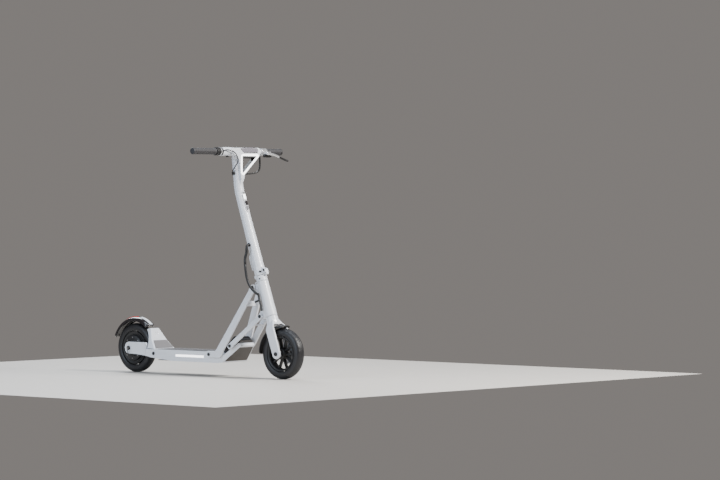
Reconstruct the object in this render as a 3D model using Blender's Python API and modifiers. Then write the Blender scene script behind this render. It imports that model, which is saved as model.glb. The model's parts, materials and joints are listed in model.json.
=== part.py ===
"""Electric kick scooter: an aluminium deck and yoke frame, a steered fork, and a stem that folds at a collar.

Metres. +X is forward, +Y is the rider's left, +Z is up. The wheels stand on z = 0, and the origin is under the
middle of the whole scooter's box. Side outlines are (x, z) pairs measured from the ground under the front axle.
"""
import math

import bpy
import bmesh
from mathutils import Matrix, Vector

# ---- driving dimensions ----
WHEEL_R = 0.120
TYRE_HALF = 0.026
TREAD_HALF = 0.012
WHEELBASE = 0.978
AXLE_Z = WHEEL_R
FRONT_X = 0.4995            # front axle, from the origin
GAP = 0.0003

DECK_HALF = 0.083
DECK_TOP = 0.120
DECK_BOTTOM = 0.068
DECK_REAR = -0.800
NOSE_BEND_X = -0.318
NOSE_TIP_X = -0.232
NOSE_HALF = 0.046
STAND_X, STAND_Y, STAND_Z = -0.440, 0.0935, 0.0820

LEAN = math.radians(19.5)   # steering axis, back from vertical
STEER_X = -0.0156           # where the steering axis meets axle height
AXLE_A = -STEER_X * math.cos(LEAN)   # front axle in the steering frame
AXLE_S = STEER_X * math.sin(LEAN)
SEAM_LOW = 0.1850           # distances up the steering axis
SEAM_HIGH = 0.3590
JOINT_S = 0.3860
BEND_S = 0.8200
HINGE_A = -0.0165
KNUCKLE_R = 0.0100
STEERER_R = 0.0167
COLLAR_R = 0.0270
STEM_R = 0.0256
NECK_R = 0.0222
EXIT_H = 0.1570             # where the cable leaves the stem
HEAD_LEAN = math.radians(6.3)
BAR_Z = 0.183               # handlebar above the bend
BAR_HALF = 0.3055
HEAD_AHEAD = 0.0080         # head casting ahead of the neck
FACE = 0.0235               # head front face
RING_BACK = -0.0065         # back of the triangular frame
RING_TOP = 0.164

PIVOT_A = (-0.399, 0.108)   # yoke bolts, side view
PIVOT_B = (-0.169, 0.430)
PIVOT_C = (-0.127, 0.294)
PIVOT_D = (-0.276, 0.151)

GUIDE_LOW, GUIDE_TOP = (-0.0190, -0.0340, 0.2200), (-0.0150, -0.0345, 0.2935)   # steering frame
CABLE_LOOP = [(-0.0124, -0.0460, 0.1219), (-0.0279, -0.0500, 0.0941), (-0.0374, -0.0530, 0.0473),
              (-0.0442, -0.0520, -0.0004), (-0.0401, -0.0475, -0.0409), (-0.0225, -0.0410, -0.0760)]

PLANES = {
    "XZ": Matrix(((1, 0, 0, 0), (0, 0, -1, 0), (0, 1, 0, 0), (0, 0, 0, 1))),
    "YZ": Matrix(((0, 0, 1, 0), (1, 0, 0, 0), (0, 1, 0, 0), (0, 0, 0, 1))),
    "XY": Matrix.Identity(4),
}
AXIS_TURN = {"Z": (0, 0, 0), "Y": (-math.pi / 2, 0, 0), "X": (0, math.pi / 2, 0)}

for old in list(bpy.data.objects):
    bpy.data.objects.remove(old, do_unlink=True)

parts = bpy.data.collections.new("kick_scooter")
cutters = bpy.data.collections.new("cutters")
for group in (parts, cutters):
    bpy.context.scene.collection.children.link(group)


# ---- materials ----
def material(name, colour, roughness, metallic=0.0):
    mat = bpy.data.materials.new(name)
    mat.use_nodes = True
    shader = mat.node_tree.nodes["Principled BSDF"]
    shader.inputs["Base Color"].default_value = (*colour, 1.0)
    shader.inputs["Roughness"].default_value = roughness
    shader.inputs["Metallic"].default_value = metallic
    mat.diffuse_color = (*colour, 1.0)
    return mat


WHITE = material("white_paint", (0.78, 0.79, 0.81), 0.35)
SILVER = material("silver_alloy", (0.60, 0.61, 0.63), 0.30, 0.9)
BLACK = material("black_plastic", (0.020, 0.020, 0.021), 0.40)
GLOSS = material("black_gloss", (0.012, 0.011, 0.012), 0.12)
RUBBER = material("tyre_rubber", (0.018, 0.018, 0.019), 0.75)
GRIP = material("grip_rubber", (0.075, 0.070, 0.075), 0.80)
MAT = material("deck_mat_rubber", (0.16, 0.155, 0.155), 0.85)
BROWN = material("under_panel", (0.055, 0.045, 0.035), 0.50)
STEEL = material("steel", (0.35, 0.35, 0.36), 0.35, 1.0)
LAMP = material("white_lens", (0.90, 0.92, 0.95), 0.20)
RED = material("red_lens", (0.60, 0.02, 0.02), 0.20)
BLUE = material("battery_wrap", (0.05, 0.10, 0.25), 0.55)


# ---- modelling helpers ----
def put(obj, parent=None, mat=None, group=parts):
    if obj.name not in group.objects:
        group.objects.link(obj)
    obj.parent = parent
    if mat:
        obj.data.materials.clear()
        obj.data.materials.append(mat)
    return obj


def empty(name, location, parent=None, turn=0.0):
    """A frame at a joint axis or a corner of the structure, turned about Y."""
    obj = bpy.data.objects.new(name, None)
    obj.location = location
    obj.rotation_euler = (0.0, turn, 0.0)
    return put(obj, parent)


def smooth(obj, angle=35.0):
    obj.data.shade_smooth()
    obj.data.set_sharp_from_angle(angle=math.radians(angle))
    return obj


def mesh_object(name, bm, parent=None, mat=None, group=parts):
    bmesh.ops.recalc_face_normals(bm, faces=bm.faces)
    mesh = bpy.data.meshes.new(name)
    bm.to_mesh(mesh)
    bm.free()
    return put(bpy.data.objects.new(name, mesh), parent, mat, group)


def baked(curve_object, turn=None):
    """The curve object as a welded mesh object of the same name."""
    put(curve_object)
    bpy.context.view_layer.update()
    graph = bpy.context.evaluated_depsgraph_get()
    mesh = bpy.data.meshes.new_from_object(curve_object.evaluated_get(graph))
    if turn:
        mesh.transform(turn)
    bm = bmesh.new()
    bm.from_mesh(mesh)
    bmesh.ops.remove_doubles(bm, verts=bm.verts, dist=1e-6)
    bmesh.ops.recalc_face_normals(bm, faces=bm.faces)
    bm.to_mesh(mesh)
    bm.free()
    name = curve_object.name
    bpy.data.objects.remove(curve_object, do_unlink=True)
    return bpy.data.objects.new(name, mesh)


def fillet(corners, steps=4):
    """The outline through (x, y, radius) corners, each rounded by an arc of its radius."""
    outline = []
    for i, (x, y, radius) in enumerate(corners):
        here = Vector((x, y))
        before = (Vector(corners[i - 1][:2]) - here).normalized()
        after = (Vector(corners[(i + 1) % len(corners)][:2]) - here).normalized()
        half = before.angle(after) / 2
        if radius <= 0 or half > math.radians(89):
            outline.append((x, y))
            continue
        centre = here + (before + after).normalized() * (radius / math.sin(half))
        start = here + before * (radius / math.tan(half)) - centre
        sweep = start.angle_signed(here + after * (radius / math.tan(half)) - centre)
        for k in range(steps + 1):
            point = centre + Matrix.Rotation(-sweep * k / steps, 2) @ start
            outline.append((point.x, point.y))
    return outline


def plain(points):
    return [(x, y, 0.0) for x, y in points]


def ring_points(x, y, radius, start, end, steps):
    """Points on an arc, angles in degrees from +X."""
    turns = [math.radians(start + (end - start) * k / steps) for k in range(steps + 1)]
    return [(x + radius * math.cos(t), y + radius * math.sin(t)) for t in turns]


def slab(name, corners, thickness, plane="XZ", at=0.0, parent=None, mat=None, group=parts, holes=(), steps=4):
    """A flat outline extruded to a thickness, centred at a distance along the plane's normal."""
    curve = bpy.data.curves.new(name, "CURVE")
    curve.dimensions = "2D"
    curve.fill_mode = "BOTH"
    curve.extrude = thickness / 2
    for loop in (corners, *holes):
        outline = fillet(loop, steps)
        spline = curve.splines.new("POLY")
        spline.points.add(len(outline) - 1)
        for point, (x, y) in zip(spline.points, outline):
            point.co = (x, y, 0.0, 1.0)
        spline.use_cyclic_u = True
    sign = -1.0 if plane == "XZ" else 1.0
    turn = PLANES[plane] @ Matrix.Translation((0.0, 0.0, sign * at))
    return put(baked(bpy.data.objects.new(name, curve), turn), parent, mat, group)


def turned(name, profile, steps, axis="Z", parent=None, mat=None, closed=True, group=parts,
           location=(0, 0, 0)):
    """A (radius, height) profile, outer side from top to bottom, screwed round an axis."""
    mesh = bpy.data.meshes.new(name)
    count = len(profile)
    edges = [(k, k + 1) for k in range(count - 1)]
    if closed:
        edges.append((count - 1, 0))
    mesh.from_pydata([(r, 0.0, h) for r, h in profile], edges, [])
    obj = put(bpy.data.objects.new(name, mesh), parent, mat, group)
    obj.rotation_euler = AXIS_TURN[axis]
    obj.location = location
    screw = obj.modifiers.new("turn", "SCREW")
    screw.steps = steps
    screw.render_steps = steps
    screw.use_merge_vertices = True
    screw.merge_threshold = 1e-5
    screw.use_smooth_shade = True
    return obj


def tube_ring(name, outer, inner, low, high, steps, axis="Y", **where):
    return turned(name, [(outer, high), (outer, low), (inner, low), (inner, high)], steps, axis, **where)


def cylinder(name, radius, low, high, axis="Y", centre=(0, 0, 0), parent=None, mat=None, group=parts,
             sides=24,
             top=None):
    """A cylinder or cone between two heights along an axis."""
    bm = bmesh.new()
    bmesh.ops.create_cone(bm, cap_ends=True, segments=sides, radius1=radius, radius2=top or radius,
                          depth=high - low)
    middle = Matrix.Translation((0, 0, (low + high) / 2))
    turn = Matrix.Rotation(AXIS_TURN[axis][0], 4, "X") @ Matrix.Rotation(AXIS_TURN[axis][1], 4, "Y")
    bmesh.ops.transform(bm, matrix=Matrix.Translation(centre) @ turn @ middle, verts=bm.verts)
    return smooth(mesh_object(name, bm, parent, mat, group))


def box(name, low, high, parent=None, mat=None, group=parts, bevel=0.0):
    bm = bmesh.new()
    bmesh.ops.create_cube(bm, size=1.0)
    size = Vector(high) - Vector(low)
    middle = (Vector(high) + Vector(low)) / 2
    bmesh.ops.transform(bm, matrix=Matrix.Translation(middle) @ Matrix.Diagonal((*size, 1.0)), verts=bm.verts)
    obj = mesh_object(name, bm, parent, mat, group)
    if bevel:
        soften(obj, bevel)
    return obj


def soften(obj, width, segments=2, angle=35.0):
    bevel = obj.modifiers.new("edges", "BEVEL")
    bevel.width = width
    bevel.segments = segments
    bevel.limit_method = "ANGLE"
    bevel.angle_limit = math.radians(angle)
    return obj


def wire(name, points, radius, parent=None, mat=None, resolution=1, group=parts):
    """A round wire along its points, with filled caps."""
    curve = bpy.data.curves.new(name, "CURVE")
    curve.dimensions = "3D"
    curve.bevel_depth = radius
    curve.bevel_resolution = resolution
    curve.use_fill_caps = True
    curve.resolution_u = 1
    curve.render_resolution_u = 0
    spline = curve.splines.new("POLY")
    spline.points.add(len(points) - 1)
    for point, co in zip(spline.points, points):
        point.co = (*co, 1.0)
    return put(smooth(baked(bpy.data.objects.new(name, curve))), parent, mat, group)


def flowing(knots, per_span=4):
    """A Catmull-Rom curve through hand-placed knots."""
    path = [Vector(k) for k in knots]
    ends = [2 * path[0] - path[1], *path, 2 * path[-1] - path[-2]]
    points = []
    for i in range(1, len(ends) - 2):
        a, b, c, d = ends[i - 1:i + 3]
        for k in range(per_span):
            t = k / per_span
            points.append(0.5 * (2 * b + (c - a) * t + (2 * a - 5 * b + 4 * c - d) * t ** 2
                                 + (3 * b - a - 3 * c + d) * t ** 3))
    return [*points, path[-1]]


def boolean(obj, tool, operation):
    tool.hide_render = True
    tool.display_type = "WIRE"
    step = obj.modifiers.new(operation.lower() + "_" + tool.name, "BOOLEAN")
    step.operation = operation
    step.object = tool
    step.solver = "EXACT"
    return obj


def cut(obj, *tools):
    for tool in tools:
        boolean(obj, tool, "DIFFERENCE")
    return obj


def join(obj, *tools):
    for tool in tools:
        boolean(obj, tool, "UNION")
    return obj


def taper(obj, x_split, shape):
    """Splits the mesh at given x values and sets each vertex's y by shape(x, y, z)."""
    bm = bmesh.new()
    bm.from_mesh(obj.data)
    for x in x_split:
        geometry = bm.verts[:] + bm.edges[:] + bm.faces[:]
        bmesh.ops.bisect_plane(bm, geom=geometry, plane_co=(x, 0, 0), plane_no=(1, 0, 0), dist=1e-6)
    for vertex in bm.verts:
        vertex.co.y = shape(*vertex.co)
    bmesh.ops.recalc_face_normals(bm, faces=bm.faces)
    bm.to_mesh(obj.data)
    bm.free()
    return obj


# ---- frames ----
ground = empty("front_ground_point", (FRONT_X, 0, 0))
front_axle_frame = empty("front_axle_frame", (0, 0, AXLE_Z), ground)
rear_axle_frame = empty("rear_axle_frame", (-WHEELBASE, 0, AXLE_Z), ground)
steer_frame = empty("steering_axis", (STEER_X, 0, AXLE_Z), ground, -LEAN)
hinge_frame = empty("fold_axis", (HINGE_A, 0, JOINT_S), steer_frame)
BEND = LEAN - HEAD_LEAN
head_frame = empty("head_frame", (-HINGE_A + HEAD_AHEAD * math.cos(BEND), 0,
                                  BEND_S - JOINT_S - HEAD_AHEAD * math.sin(BEND)),
                   hinge_frame, BEND)


def steer_point(x, z):
    """A side-view point in the steering frame."""
    dx, dz = x - STEER_X, z - AXLE_Z
    return (dx * math.cos(LEAN) + dz * math.sin(LEAN), -dx * math.sin(LEAN) + dz * math.cos(LEAN))


# ---- deck ----
def nose_half(x, y, z):
    """Deck half-width: full behind the nose bend, then narrowing to the tip."""
    if x <= NOSE_BEND_X:
        return y
    share = (x - NOSE_BEND_X) / (NOSE_TIP_X - NOSE_BEND_X)
    return y * (1 - share * (1 - NOSE_HALF / DECK_HALF))


def build_deck():
    side = [(DECK_REAR, DECK_TOP, 0), (-0.350, DECK_TOP, 0), (-0.322, 0.1000, 0.006),
            (-0.2430, 0.1660, 0.003),
            (NOSE_TIP_X, 0.1520, 0.003), (NOSE_BEND_X, 0.0710, 0.010), (-0.360, DECK_BOTTOM, 0),
            (-0.660, DECK_BOTTOM, 0.05), (DECK_REAR, 0.0800, 0)]
    deck = slab("deck_frame", side, 2 * DECK_HALF, parent=ground, mat=WHITE)
    taper(deck, [NOSE_BEND_X], nose_half)
    soften(deck, 0.0025, 2)
    bay = box("battery_bay", (-0.765, -0.070, 0.050), (-0.415, 0.070, 0.1140), ground, group=cutters)
    recess = nose_panel_shape("panel_recess", 0.0060, 0.0, cutters)
    mouths = [box("strip_mouth_%d" % side_sign, (-0.632 - GAP, min(side_sign * 0.0815, side_sign * 0.09),
                                                 0.0900 - GAP),
                  (-0.444 + GAP, max(side_sign * 0.0815, side_sign * 0.09), 0.1000 + GAP), ground,
                  group=cutters)
              for side_sign in (-1, 1)]
    port = cylinder("port_mouth", 0.0085 + GAP, -0.100, -0.0740, "Y", (-0.783, 0, 0.1000), ground,
                    group=cutters)
    feet = cylinder("yoke_bolt_mouth", 0.0053, -0.12, 0.12, "Y", (PIVOT_A[0], 0, PIVOT_A[1]), ground,
                    group=cutters)
    join(deck, cylinder("stand_boss", 0.0075, DECK_HALF - 0.004, STAND_Y - 0.0048, "Y",
                        (STAND_X, 0, STAND_Z), ground,
                        group=cutters))
    cut(deck, bay, recess, *mouths, port, feet)
    box("deck_cover", (-0.7645, -0.0695, DECK_BOTTOM), (-0.4155, 0.0695, 0.0710), ground, BLACK, bevel=0.001)
    box("battery_pack", (-0.755, -0.058, 0.0720), (-0.430, 0.058, 0.1130), ground, BLUE, bevel=0.004)
    mat_outline = [(-0.772, -0.068, 0.006), (-0.362, -0.068, 0.02), (-0.362, 0.068, 0.02),
                   (-0.772, 0.068, 0.006)]
    slab("deck_mat", mat_outline, 0.0024, "XY", DECK_TOP + GAP + 0.0012, ground, MAT)
    nose_panel_shape("nose_panel", 0.0020, 0.0004, parts)
    for sign, name in ((-1, "light_strip_right"), (1, "light_strip_left")):
        low, high = sorted((sign * 0.0818, sign * (DECK_HALF + 0.0006)))
        box(name, (-0.632, low, 0.0900), (-0.444, high, 0.1000), ground, LAMP)


def nose_panel_shape(name, depth, inset, group):
    """The sloping panel under the nose, as a trapezium lying just inside the nose's lower face."""
    low, high = Vector((-0.3120, 0.0, 0.0767)), Vector((-0.2400, 0.0, 0.1445))
    slope = high - low
    corners = [(inset, -0.0775 + inset, 0.004), (inset, 0.0775 - inset, 0.004),
               (slope.length - inset, 0.0465 - inset, 0.004), (slope.length - inset, -0.0465 + inset, 0.004)]
    panel = slab(name, corners, depth, "XY", 0.0, ground, BROWN, group)
    panel.rotation_euler = (0.0, -math.atan2(slope.z, slope.x), 0.0)
    normal = Vector((slope.z, 0.0, -slope.x)).normalized()
    offset = 0.0 if group is cutters else -0.0010
    panel.location = low + normal * offset
    return panel


def build_nose_box():
    side = [(-0.3560, 0.1210, 0), (-0.3480, 0.1210, 0), (-0.3225, 0.1030, 0), (-0.2434, 0.1668, 0),
            (-0.2420, 0.1780, 0.006), (-0.2520, 0.1975, 0.014), (-0.2920, 0.1960, 0.016)]
    cover = slab("nose_box", side, 0.088, parent=ground, mat=GLOSS)
    taper(cover, [], lambda x, y, z: y * (1.0 - 0.34 * max(0.0, z - 0.1668) / 0.03))
    soften(cover, 0.0050, 3)
    cut(cover, cylinder("nose_bolt_bore", 0.0053, -0.12, 0.12, "Y", (PIVOT_D[0], 0, PIVOT_D[1]), ground,
                        group=cutters))


def build_charge_cap():
    hinge = empty("charge_cap_axis", (-0.783, -0.0850, 0.1090), ground)
    cylinder("charge_cap", 0.0080, -0.0011, 0.0011, "Y", (0, 0, -0.0090), hinge, BLACK)


# ---- rear end ----
def build_dropouts():
    def jog(sign):
        def shape(x, y, z):
            share = min(1.0, max(0.0, (DECK_REAR - x) / 0.070))
            return y + sign * (0.0770 - 0.0235 * share)
        return shape
    corners = [(DECK_REAR - GAP, 0.1195, 0), (-0.8520, 0.1195, 0), (-0.8520, 0.1500, 0.012),
               (-WHEELBASE - 0.0280, 0.1500, 0.0270), (-WHEELBASE - 0.0280, 0.0930, 0.0270),
               (-0.930, 0.0920, 0), (DECK_REAR - GAP, 0.0800, 0)]
    arms = []
    for sign, group in ((-1, parts), (1, cutters)):
        arm = slab("rear_dropouts" if group is parts else "left_dropout", corners, 0.011, parent=ground,
                   mat=WHITE,
                   group=group, steps=4)
        taper(arm, [DECK_REAR - 0.035, DECK_REAR - 0.070], jog(sign))
        arms.append(arm)
    bridge = box("rear_bridge", (-0.8420, -0.0760, 0.0860), (DECK_REAR - GAP, 0.0760, 0.1190), ground,
                 group=cutters)
    join(arms[0], arms[1], bridge)
    bore = cylinder("rear_axle_bore", 0.0063, -0.1, 0.1, "Y", (-WHEELBASE, 0, AXLE_Z), ground, group=cutters)
    cut(arms[0], bore)
    soften(arms[0], 0.0015, 1, 50)


def heel_pad():
    """The ribbed pad on the low front face of the heel shield."""
    foot, top = Vector((-0.7890, 0, DECK_TOP + GAP)), Vector((-0.8270, 0, 0.1650))
    slope = top - foot
    pad = slab("heel_mat", [(0.004, -0.061, 0.003), (0.052, -0.0445, 0.003), (0.052, 0.0445, 0.003),
                            (0.004, 0.061, 0.003)],
               0.0020, "XY", -0.0014, ground, MAT)
    pad.rotation_euler = (0, -math.atan2(slope.z, slope.x), 0)
    pad.location = foot


def build_kickup():
    """The raised heel shield: a hood that narrows upward and follows the wheel behind."""
    arc = ring_points(-WHEELBASE, AXLE_Z, 0.1345, 1.0, 45.0, 6)
    side = plain([(-0.7890, DECK_TOP + GAP), (-0.8270, 0.1650), (-0.8560, 0.2190), *reversed(arc)])
    shield = slab("kickup_shield", side, 0.140, parent=ground, mat=WHITE)
    taper(shield, [], lambda x, y, z: y * (1.0 - 0.60 * (z - DECK_TOP) / 0.098))
    soften(shield, 0.0035, 2, 50)
    mouth = box("catch_mouth", (0.074, -0.0130, -0.0080), (0.094, 0.0130, 0.0120), ground, group=cutters)
    mouth.location = (-0.7920, 0, DECK_TOP)
    upper = math.atan2(0.0540, -0.0290)
    mouth.rotation_euler = (0, -upper, 0)
    cut(shield, mouth)


def arc_band(name, profile, start, end, steps, parent, mat):
    """A (radius, y) section swept round the wheel axis between two angles from +X, in degrees."""
    bm = bmesh.new()
    turn = math.radians(start)
    verts = [bm.verts.new((r * math.cos(turn), y, r * math.sin(turn))) for r, y in profile]
    face = bm.faces.new(verts)
    geometry = [face, *face.edges, *face.verts]
    bmesh.ops.spin(bm, geom=geometry, cent=(0, 0, 0), axis=(0, -1, 0), angle=math.radians(end - start),
                   steps=steps, use_duplicate=False)
    bmesh.ops.remove_doubles(bm, verts=bm.verts, dist=1e-6)
    return smooth(mesh_object(name, bm, parent, mat))


def fender_section(crown, skirt, half, wall):
    """An arched section: a crown, rounded shoulders and short skirts."""
    outer = [(skirt, -half), (crown - 0.009, -half * 0.97), (crown - 0.0025, -half * 0.72),
             (crown, -half * 0.40)]
    outer = outer + [(r, -y) for r, y in reversed(outer)]
    inner = [(skirt, half - wall), (crown - 0.010, half * 0.97 - wall), (crown - wall - 0.0025, half * 0.62),
             (crown - wall, half * 0.35)]
    inner = inner + [(r, -y) for r, y in reversed(inner)]
    return outer + inner


def build_rear_fender():
    arc_band("rear_fender", fender_section(0.1500, 0.1310, 0.0300, 0.0025), 49, 160, 16, rear_axle_frame,
             GLOSS)
    strip = [(0.1503, -0.009), (0.1503, 0.009), (0.1530, 0.007), (0.1530, -0.007)]
    arc_band("fender_spine", strip, 50, 79, 8, rear_axle_frame, WHITE)
    lens = [(0.1503, -0.0110), (0.1503, 0.0110), (0.1525, 0.0095), (0.1525, -0.0095)]
    arc_band("tail_light", lens, 90, 150, 14, rear_axle_frame, RED)


def tyre_profile(bead_r, bead_half):
    shoulder = [(WHEEL_R, TREAD_HALF), (WHEEL_R - 0.0018, 0.0165), (WHEEL_R - 0.0070, 0.0222),
                (WHEEL_R - 0.0150, TYRE_HALF), (WHEEL_R - 0.0260, 0.0250), (bead_r + 0.0080, 0.0215),
                (bead_r, bead_half)]
    return [*reversed(shoulder), *[(r, -y) for r, y in shoulder]]


def build_rear_wheel():
    turned("rear_tyre", tyre_profile(0.0800, 0.0190), 28, "Y", rear_axle_frame, RUBBER)
    outer = [(0.0797, 0.0220), (0.0797, -0.0220), (0.0740, -0.0220), (0.0700, -0.0200), (0.0640, -0.0200),
             (0.0600, -0.0330), (0.0420, -0.0350), (0.0380, -0.0410), (0.0200, -0.0410), (0.0170, -0.0420),
             (0.0067, -0.0420), (0.0067, -0.0335), (0.0560, -0.0290), (0.0590, -0.0160)]
    turned("hub_motor_shell", [*outer, *[(r, -y) for r, y in reversed(outer)][:-2]], 28, "Y",
           rear_axle_frame, BLACK)
    upper = [(0, 0.0680), (0.0060, 0.0680), (0.0060, 0.0475), (0.0090, 0.0475), (0.0090, 0.0425),
             (0.0060, 0.0425),
             (0.0060, 0.0130), (0.0530, 0.0130)]
    turned("rear_axle", [*upper, *[(r, -y) for r, y in reversed(upper)]], 16, "Y", rear_axle_frame, STEEL,
           False)
    lead = wire("motor_lead", flowing([(0.0, -0.0640, 0.0088), (0.001, -0.0722, 0.006),
                                       (0.003, -0.0735, -0.012),
                                       (0.008, -0.0700, -0.026), (0.020, -0.0640, -0.036)], 3), 0.0022,
                rear_axle_frame, group=cutters)
    for sign, name in ((-1, "axle_nut_right"), (1, "axle_nut_left")):
        low, high = sorted((sign * 0.0595, sign * 0.0665))
        nut = tube_ring(name, 0.0105, 0.0074, low, high, 6, parent=rear_axle_frame, mat=BLACK)
        if sign < 0:
            join(nut, lead)


# ---- yokes and head tube ----
def splayed(low_z, low_y, high_z, high_y, sign):
    def shape(x, y, z):
        share = min(1.0, max(0.0, (z - low_z) / (high_z - low_z)))
        return y + sign * (low_y + (high_y - low_y) * share)
    return shape


def yoke_arm(name, corners, thickness, shape, split_z, group=parts):
    arm = slab(name, corners, thickness, parent=ground, mat=WHITE, steps=3, group=group)
    bm = bmesh.new()
    bm.from_mesh(arm.data)
    for z in split_z:
        geometry = bm.verts[:] + bm.edges[:] + bm.faces[:]
        bmesh.ops.bisect_plane(bm, geom=geometry, plane_co=(0, 0, z), plane_no=(0, 0, 1), dist=1e-6)
    bm.to_mesh(arm.data)
    bm.free()
    return taper(arm, [], shape)


def build_yokes():
    ax, az = PIVOT_A
    bx, bz = PIVOT_B
    upper = [(ax - 0.0200, az - 0.0155, 0.0140), (ax + 0.075, az - 0.0155, 0.018),
             (bx + 0.0130, bz - 0.0050, 0.006),
             (bx + 0.0110, bz + 0.0150, 0.010), (bx - 0.0120, bz + 0.0130, 0.012),
             (ax + 0.043, az + 0.0165, 0.016),
             (ax - 0.0200, az + 0.0165, 0.0140)]
    arms = [yoke_arm(name, upper, 0.011, splayed(0.126, 0.0892, 0.412, 0.0285, sign), (0.126, 0.412), group)
            for sign, name, group in ((-1, "upper_yoke", parts), (1, "upper_yoke_left_arm", cutters))]
    brace = box("yoke_brace", (-0.2190, -0.0400, 0.3400), (-0.2090, 0.0400, 0.3640), ground, group=cutters)
    join(arms[0], arms[1], brace)
    for i, (x, z) in enumerate((PIVOT_A, PIVOT_B)):
        cut(arms[0], cylinder("upper_yoke_bore_%d" % i, 0.0053, -0.12, 0.12, "Y", (x, 0, z), ground,
                              group=cutters))
    soften(arms[0], 0.0020, 1, 50)
    cx, cz = PIVOT_C
    dx, dz = PIVOT_D
    along = Vector((dx - cx, dz - cz)).normalized()
    side = Vector((-along.y, along.x)) * 0.0125
    corners = [(cx - along.x * 0.014 + side.x, cz - along.y * 0.014 + side.y, 0.011),
               (cx - along.x * 0.014 - side.x, cz - along.y * 0.014 - side.y, 0.011),
               (dx + along.x * 0.016 - side.x * 1.15, dz + along.y * 0.016 - side.y * 1.15, 0.011),
               (dx + along.x * 0.016 + side.x * 1.15, dz + along.y * 0.016 + side.y * 1.15, 0.011)]
    lower = yoke_arm("lower_yoke", corners, 0.010, splayed(0.150, 0.0738, 0.280, 0.0240, -1), (0.150, 0.280))
    other = yoke_arm("lower_yoke_left_leg", corners, 0.010, splayed(0.150, 0.0738, 0.280, 0.0240, 1),
                     (0.150, 0.280), cutters)
    web = box("lower_yoke_web", (-0.1720, -0.0300, 0.2480), (-0.1560, 0.0300, 0.2560), ground, WHITE, cutters)
    join(lower, other, web)
    for i, (x, z) in enumerate((PIVOT_C, PIVOT_D)):
        cut(lower, cylinder("lower_yoke_bore_%d" % i, 0.0053, -0.12, 0.12, "Y", (x, 0, z), ground,
                            group=cutters))
    for name, (x, z), half in (("bolt_deck", PIVOT_A, 0.0975), ("bolt_high_lug", PIVOT_B, 0.0370),
                               ("bolt_low_lug", PIVOT_C, 0.0320), ("bolt_nose", PIVOT_D, 0.0820)):
        upper = [(0, half), (0.0080, half), (0.0080, half - 0.0020), (0.0050, half - 0.0020)]
        turned(name, [*upper, *[(r, -y) for r, y in reversed(upper)]], 18, "Y", ground, BLACK, False,
               location=(x, 0, z))


def build_head_tube():
    tube = turned("head_tube", [(0.0272, SEAM_HIGH - 0.0004), (0.0276, SEAM_HIGH - 0.030),
                                (0.0288, SEAM_LOW + 0.0004),
                                (0.0205, SEAM_LOW + 0.0004), (0.0205, SEAM_HIGH - 0.0004)], 28, "Z",
                  steer_frame, WHITE)
    ca, cs = steer_point(*PIVOT_C)
    ba, bs = steer_point(*PIVOT_B)
    low_lug = slab("low_lug", [(-0.0225, cs - 0.0150, 0), (ca - 0.0130, cs - 0.0140, 0.0120),
                               (ca - 0.0130, cs + 0.0130, 0.0120),
                               (-0.0230, cs + 0.0420, 0)], 0.0360, parent=steer_frame, group=cutters)
    high_lug = slab("high_lug", [(-0.0240, bs - 0.0300, 0), (ba - 0.0130, bs - 0.0130, 0.0120),
                                 (ba - 0.0130, bs + 0.0110, 0.0110), (-0.0240, bs + 0.0110, 0)], 0.0440,
                    parent=steer_frame, group=cutters)
    join(tube, low_lug, high_lug)
    for i, (a, s) in enumerate(((ca, cs), (ba, bs))):
        cut(tube, cylinder("lug_bore_%d" % i, 0.0053, -0.05, 0.05, "Y", (a, 0, s), steer_frame,
                           group=cutters))
    low, high = SEAM_LOW + 0.002, SEAM_HIGH - 0.002
    turned("headset_bearing", [(0.0202, high), (0.0202, high - 0.010), (0.0182, high - 0.010),
                               (0.0182, low + 0.010),
                               (0.0202, low + 0.010), (0.0202, low), (0.0170, low), (0.0170, high)], 20, "Z",
           steer_frame, STEEL)
    guide = wire("cable_guide", [GUIDE_LOW, GUIDE_TOP], 0.0064, steer_frame, BLACK)
    clip = box("guide_clip", (-0.0470, -0.0380, 0.2680), (-0.0180, -0.0310, 0.2770), steer_frame, BLACK,
               cutters)
    join(guide, clip)


# ---- steering ----
def build_fork():
    """Front silhouette crossed with side silhouette, plus the steerer tube."""
    right = [(0.0195, 0.1720, 0), (0.0290, 0.1500, 0.02), (0.0530, 0.1150, 0.035), (0.0530, -0.030, 0),
             (0.0420, -0.030, 0), (0.0420, 0.1180, 0.012), (0.0300, 0.1380, 0.010)]
    front = right + [(-y, s, r) for y, s, r in reversed(right)]
    fork = slab("fork", front, 0.060, "YZ", AXLE_A, steer_frame, WHITE, steps=3)
    half = 0.0240
    side = [(AXLE_A - half, AXLE_S - half, half * 0.98), (AXLE_A + half, AXLE_S - half, half * 0.98),
            (AXLE_A + half, 0.1150, 0.03), (0.0270, 0.1500, 0.03), (0.0195, 0.1730, 0),
            (-0.0195, 0.1730, 0), (-0.0265, 0.1500, 0.03), (AXLE_A - half - 0.002, 0.1120, 0.03)]
    keep = slab("fork_side", side, 0.130, parent=steer_frame, group=cutters, steps=5)
    boolean(fork, keep, "INTERSECT")
    soften(fork, 0.0045, 2, 50)
    steerer = cylinder("steerer", STEERER_R, SEAM_LOW - 0.010, JOINT_S - 0.0160, "Z", (0, 0, 0), steer_frame,
                       group=cutters)
    bore = cylinder("fork_axle_bore", 0.0053, -0.08, 0.08, "Y", (AXLE_A, 0, AXLE_S), steer_frame,
                    group=cutters)
    crown = turned("fork_crown", [(0, SEAM_LOW - 0.0004), (0.0287, SEAM_LOW - 0.0004), (0.0291, 0.1650),
                                  (0.0312, 0.1480),
                                  (0.0290, 0.1360), (0, 0.1360)], 28, "Z", steer_frame, closed=False,
                   group=cutters)
    join(fork, crown, steerer)
    cut(fork, bore)


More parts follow.
